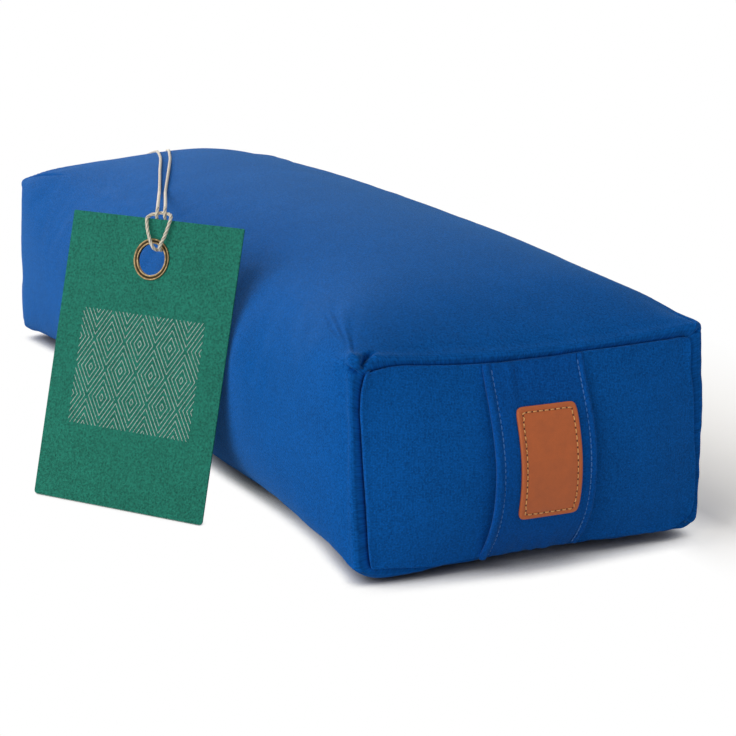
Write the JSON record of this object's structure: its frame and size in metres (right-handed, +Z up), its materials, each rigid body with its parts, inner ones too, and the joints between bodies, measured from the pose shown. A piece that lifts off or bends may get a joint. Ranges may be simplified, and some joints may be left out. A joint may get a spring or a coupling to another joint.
{
  "type": "rectangular yoga bolster",
  "caption": "Rectangular stuffed yoga bolster with a crowned top, folded end handles, a stitched leather patch, a side zip and a swing card on a cord.",
  "frame": {"origin": "on the ground under the middle of the bolster, where its base rests", "axes": "+X along the length towards the end with the leather patch, +Y towards the long side with the zip, +Z up"},
  "size_m": [0.7323, 0.3669, 0.1947],
  "materials": {
    "blue_cotton": "fine plain weave, matt",
    "blue_cotton_band": "fine plain weave, matt, folded band",
    "blue_thread": "matt sewing thread",
    "tan_leather": "smooth grain, half matt",
    "cream_thread": "waxed thread",
    "zip_tape": "woven tape",
    "zip_teeth": "moulded, half matt",
    "zip_metal": "burnished",
    "natural_cotton": "unbleached, matt",
    "spelt_husks": "loose dry husks",
    "green_card": "pebbled, matt",
    "antique_brass": "darkened, satin",
    "cream_cord": "twisted cotton, matt"
  },
  "bodies": {
    "bolster": {"wrap_panel": "blue_cotton", "end_panel_front": "blue_cotton", "end_panel_rear": "blue_cotton", "handle_front": "blue_cotton_band", "handle_rear": "blue_cotton_band", "handle_front_topstitch_left": "blue_thread", "handle_front_topstitch_right": "blue_thread", "handle_rear_topstitch_left": "blue_thread", "handle_rear_topstitch_right": "blue_thread", "leather_patch": "tan_leather", "leather_patch_stitching": "cream_thread", "zip_tape_upper": "zip_tape", "zip_tape_lower": "zip_tape", "zip_teeth_upper": "zip_teeth", "zip_teeth_lower": "zip_teeth", "zip_top_stop_upper": "zip_metal", "zip_top_stop_lower": "zip_metal", "zip_bottom_stop": "zip_metal", "inner_bag": "natural_cotton", "spelt_husk_fill": "spelt_husks", "tag_card": "green_card", "tag_eyelet": "antique_brass", "tag_eyelet_washer": "antique_brass", "tag_cord": "cream_cord", "tag_cord_knot": "cream_cord"},
    "slider": {"zip_slider": "zip_metal"},
    "puller": {"zip_puller": "zip_metal"}
  },
  "joints": [
    {"name": "zip_slide", "type": "slide", "parent": "bolster", "child": "slider", "axis": [-1, 0, 0], "range_m": [0, 0.39]},
    {"name": "puller_turn", "type": "hinge", "parent": "slider", "child": "puller", "pos_m": [0.195, 0.13172, 0.045], "axis": [0, 0, -1], "range_deg": [0, 170]}
  ]
}
